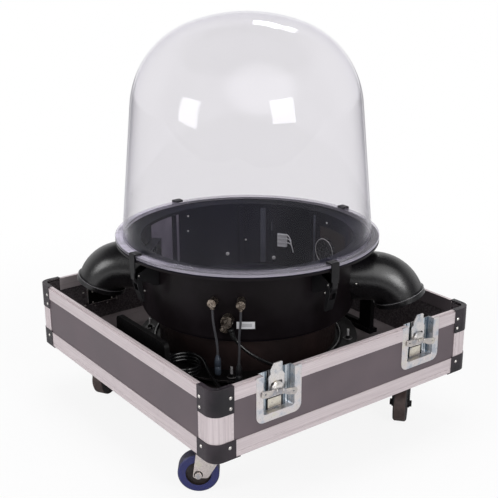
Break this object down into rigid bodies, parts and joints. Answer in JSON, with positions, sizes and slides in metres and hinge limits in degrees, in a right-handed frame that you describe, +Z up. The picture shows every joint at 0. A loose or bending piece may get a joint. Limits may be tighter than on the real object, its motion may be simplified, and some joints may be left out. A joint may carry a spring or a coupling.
{
  "type": "domed stage light enclosure",
  "caption": "Clear weather dome on a ventilated drum for a stage light, with draw latches, air elbows and leads, standing in a flight case tray on swivel castors.",
  "frame": {"origin": "on the floor under the middle of the case", "axes": "+Z up, -Y out of the front face where the cables leave the drum, +X along that face to the right"},
  "size_m": [0.8306, 0.8626, 1.0835],
  "materials": {
    "laminate": "smooth laminate over plywood",
    "deck": "smooth laminate over plywood",
    "aluminium": "brushed natural anodised",
    "bracket": "satin black",
    "rivet": "plated",
    "black_wood": "black painted plywood",
    "zinc": "bright zinc plate",
    "black_metal": "satin black powder coat",
    "tyre": "blue elastic rubber",
    "black_rubber": "matte",
    "plinth": "dark brown-black",
    "drum": "moulded, satin gloss",
    "clear": "clear acrylic",
    "elbow": "moulded, satin gloss",
    "fan_plastic": "moulded",
    "nickel": "nickel plate",
    "pale_plastic": "moulded",
    "cable": "satin black sheath"
  },
  "bodies": {
    "root": {"case_floor": "deck", "latch_panels": "laminate", "end_panels": "laminate", "edge_rails": "aluminium", "corner_brackets": "bracket", "bracket_rivets": "rivet", "cheek_plates": "black_wood", "latch_dishes": "zinc", "castor_boards": "black_wood", "castor_plates": "zinc", "base_plate": "black_metal", "rubber_mounts": "black_rubber", "mount_studs": "zinc", "plinth": "plinth", "drum": "drum", "gasket": "black_rubber", "dome": "clear", "clamp_brackets": "black_metal", "elbows": "elbow", "mouth_guards": "black_metal", "fan_housing": "fan_plastic", "cable_fittings": "nickel", "terminal_block": "pale_plastic", "signal_lead_a": "cable", "signal_lead_b": "cable", "line_plugs": "black_rubber", "power_cord": "cable", "cord_coil": "cable", "power_plug": "black_rubber"},
    "fan": {"fan_rotor": "fan_plastic"},
    "latch_cam_front_left": {"latch_cam_front_left": "zinc"},
    "latch_hook_front_left": {"latch_hook_front_left": "zinc"},
    "latch_wing_front_left": {"latch_wing_front_left": "zinc"},
    "latch_cam_front_right": {"latch_cam_front_right": "zinc"},
    "latch_hook_front_right": {"latch_hook_front_right": "zinc"},
    "latch_wing_front_right": {"latch_wing_front_right": "zinc"},
    "latch_cam_back_left": {"latch_cam_back_left": "zinc"},
    "latch_hook_back_left": {"latch_hook_back_left": "zinc"},
    "latch_wing_back_left": {"latch_wing_back_left": "zinc"},
    "latch_cam_back_right": {"latch_cam_back_right": "zinc"},
    "latch_hook_back_right": {"latch_hook_back_right": "zinc"},
    "latch_wing_back_right": {"latch_wing_back_right": "zinc"},
    "clamp_lever_right": {"clamp_lever_right": "black_metal"},
    "clamp_hook_right": {"clamp_hook_right": "black_metal"},
    "clamp_lever_back": {"clamp_lever_back": "black_metal"},
    "clamp_hook_back": {"clamp_hook_back": "black_metal"},
    "clamp_lever_left": {"clamp_lever_left": "black_metal"},
    "clamp_hook_left": {"clamp_hook_left": "black_metal"},
    "clamp_lever_front": {"clamp_lever_front": "black_metal"},
    "clamp_hook_front": {"clamp_hook_front": "black_metal"},
    "castor_fork_fl": {"castor_fork_fl": "zinc"},
    "castor_wheel_fl": {"castor_wheel_fl": "tyre"},
    "castor_fork_fr": {"castor_fork_fr": "zinc"},
    "castor_wheel_fr": {"castor_wheel_fr": "tyre"},
    "brake_pedal_fr": {"brake_pedal_fr": "black_metal"},
    "castor_fork_bl": {"castor_fork_bl": "zinc"},
    "castor_wheel_bl": {"castor_wheel_bl": "tyre"},
    "castor_fork_br": {"castor_fork_br": "zinc"},
    "castor_wheel_br": {"castor_wheel_br": "tyre"},
    "brake_pedal_br": {"brake_pedal_br": "black_metal"}
  },
  "joints": [
    {"name": "fan_spin", "type": "hinge", "parent": "root", "child": "fan", "pos_m": [-0.18385, 0.18385, 0.4055], "axis": [-0.7071, 0.7071, 0], "continuous": true},
    {"name": "latch_turn_front_left", "type": "hinge", "parent": "root", "child": "latch_cam_front_left", "pos_m": [-0.228, -0.42, 0.292], "axis": [0, -1, 0], "range_deg": [0, 180]},
    {"name": "latch_slide_front_left", "type": "slide", "parent": "root", "child": "latch_hook_front_left", "axis": [0, 0, 1], "range_m": [-0.012, 0]},
    {"name": "wing_fold_front_left", "type": "hinge", "parent": "latch_cam_front_left", "child": "latch_wing_front_left", "pos_m": [-0.228, -0.42875, 0.292], "axis": [-0.9848, 0, 0.1736], "range_deg": [0, 90]},
    {"name": "latch_turn_front_right", "type": "hinge", "parent": "root", "child": "latch_cam_front_right", "pos_m": [0.228, -0.42, 0.292], "axis": [0, -1, 0], "range_deg": [0, 180]},
    {"name": "latch_slide_front_right", "type": "slide", "parent": "root", "child": "latch_hook_front_right", "axis": [0, 0, 1], "range_m": [-0.012, 0]},
    {"name": "wing_fold_front_right", "type": "hinge", "parent": "latch_cam_front_right", "child": "latch_wing_front_right", "pos_m": [0.228, -0.42875, 0.292], "axis": [-0.9848, 0, 0.1736], "range_deg": [0, 90]},
    {"name": "latch_turn_back_left", "type": "hinge", "parent": "root", "child": "latch_cam_back_left", "pos_m": [-0.228, 0.42, 0.292], "axis": [0, 1, 0], "range_deg": [0, 180]},
    {"name": "latch_slide_back_left", "type": "slide", "parent": "root", "child": "latch_hook_back_left", "axis": [0, 0, 1], "range_m": [-0.012, 0]},
    {"name": "wing_fold_back_left", "type": "hinge", "parent": "latch_cam_back_left", "child": "latch_wing_back_left", "pos_m": [-0.228, 0.42875, 0.292], "axis": [0.9848, 0, 0.1736], "range_deg": [0, 90]},
    {"name": "latch_turn_back_right", "type": "hinge", "parent": "root", "child": "latch_cam_back_right", "pos_m": [0.228, 0.42, 0.292], "axis": [0, 1, 0], "range_deg": [0, 180]},
    {"name": "latch_slide_back_right", "type": "slide", "parent": "root", "child": "latch_hook_back_right", "axis": [0, 0, 1], "range_m": [-0.012, 0]},
    {"name": "wing_fold_back_right", "type": "hinge", "parent": "latch_cam_back_right", "child": "latch_wing_back_right", "pos_m": [0.228, 0.42875, 0.292], "axis": [0.9848, 0, 0.1736], "range_deg": [0, 90]},
    {"name": "clamp_open_right", "type": "hinge", "parent": "root", "child": "clamp_lever_right", "pos_m": [0.338, 0, 0.4665], "axis": [0, -1, 0], "range_deg": [0, 90]},
    {"name": "hook_lift_right", "type": "hinge", "parent": "clamp_lever_right", "child": "clamp_hook_right", "pos_m": [0.3387, 0, 0.44651], "axis": [0, -1, 0], "range_deg": [-108, 0]},
    {"name": "clamp_open_back", "type": "hinge", "parent": "root", "child": "clamp_lever_back", "pos_m": [0, 0.338, 0.4665], "axis": [1, 0, 0], "range_deg": [0, 90]},
    {"name": "hook_lift_back", "type": "hinge", "parent": "clamp_lever_back", "child": "clamp_hook_back", "pos_m": [0, 0.3387, 0.44651], "axis": [1, 0, 0], "range_deg": [-108, 0]},
    {"name": "clamp_open_left", "type": "hinge", "parent": "root", "child": "clamp_lever_left", "pos_m": [-0.338, 0, 0.4665], "axis": [0, 1, 0], "range_deg": [0, 90]},
    {"name": "hook_lift_left", "type": "hinge", "parent": "clamp_lever_left", "child": "clamp_hook_left", "pos_m": [-0.3387, 0, 0.44651], "axis": [0, 1, 0], "range_deg": [-108, 0]},
    {"name": "clamp_open_front", "type": "hinge", "parent": "root", "child": "clamp_lever_front", "pos_m": [0, -0.338, 0.4665], "axis": [-1, 0, 0], "range_deg": [0, 90]},
    {"name": "hook_lift_front", "type": "hinge", "parent": "clamp_lever_front", "child": "clamp_hook_front", "pos_m": [0, -0.3387, 0.44651], "axis": [-1, 0, 0], "range_deg": [-108, 0]},
    {"name": "castor_swivel_fl", "type": "hinge", "parent": "root", "child": "castor_fork_fl", "pos_m": [-0.314, -0.292, 0.12], "axis": [0, 0, 1], "continuous": true},
    {"name": "wheel_spin_fl", "type": "hinge", "parent": "castor_fork_fl", "child": "castor_wheel_fl", "pos_m": [-0.34595, -0.26793, 0.05], "axis": [0.6018, 0.7986, 0], "continuous": true},
    {"name": "castor_swivel_fr", "type": "hinge", "parent": "root", "child": "castor_fork_fr", "pos_m": [0.314, -0.292, 0.12], "axis": [0, 0, 1], "continuous": true},
    {"name": "wheel_spin_fr", "type": "hinge", "parent": "castor_fork_fr", "child": "castor_wheel_fr", "pos_m": [0.28336, -0.31771, 0.05], "axis": [-0.6428, 0.766, 0], "continuous": true},
    {"name": "brake_press_fr", "type": "hinge", "parent": "castor_fork_fr", "child": "brake_pedal_fr", "pos_m": [0.29408, -0.30871, 0.1132], "axis": [0.6428, -0.766, 0], "range_deg": [0, 8]},
    {"name": "castor_swivel_bl", "type": "hinge", "parent": "root", "child": "castor_fork_bl", "pos_m": [-0.314, 0.292, 0.12], "axis": [0, 0, 1], "continuous": true},
    {"name": "wheel_spin_bl", "type": "hinge", "parent": "castor_fork_bl", "child": "castor_wheel_bl", "pos_m": [-0.27936, 0.312, 0.05], "axis": [0.5, -0.866, 0], "continuous": true},
    {"name": "castor_swivel_br", "type": "hinge", "parent": "root", "child": "castor_fork_br", "pos_m": [0.314, 0.292, 0.12], "axis": [0, 0, 1], "continuous": true},
    {"name": "wheel_spin_br", "type": "hinge", "parent": "castor_fork_br", "child": "castor_wheel_br", "pos_m": [0.35159, 0.30568, 0.05], "axis": [0.342, -0.9397, 0], "continuous": true},
    {"name": "brake_press_br", "type": "hinge", "parent": "castor_fork_br", "child": "brake_pedal_br", "pos_m": [0.33843, 0.30089, 0.1132], "axis": [-0.342, 0.9397, 0], "range_deg": [0, 8]}
  ],
  "couplings": [
    {"joint": "latch_slide_front_left", "follows": "latch_turn_front_left", "m_per_rad": -0.00382},
    {"joint": "latch_slide_front_right", "follows": "latch_turn_front_right", "m_per_rad": -0.00382},
    {"joint": "latch_slide_back_left", "follows": "latch_turn_back_left", "m_per_rad": -0.00382},
    {"joint": "latch_slide_back_right", "follows": "latch_turn_back_right", "m_per_rad": -0.00382},
    {"joint": "hook_lift_right", "follows": "clamp_open_right", "ratio": -1.2},
    {"joint": "hook_lift_back", "follows": "clamp_open_back", "ratio": -1.2},
    {"joint": "hook_lift_left", "follows": "clamp_open_left", "ratio": -1.2},
    {"joint": "hook_lift_front", "follows": "clamp_open_front", "ratio": -1.2}
  ]
}
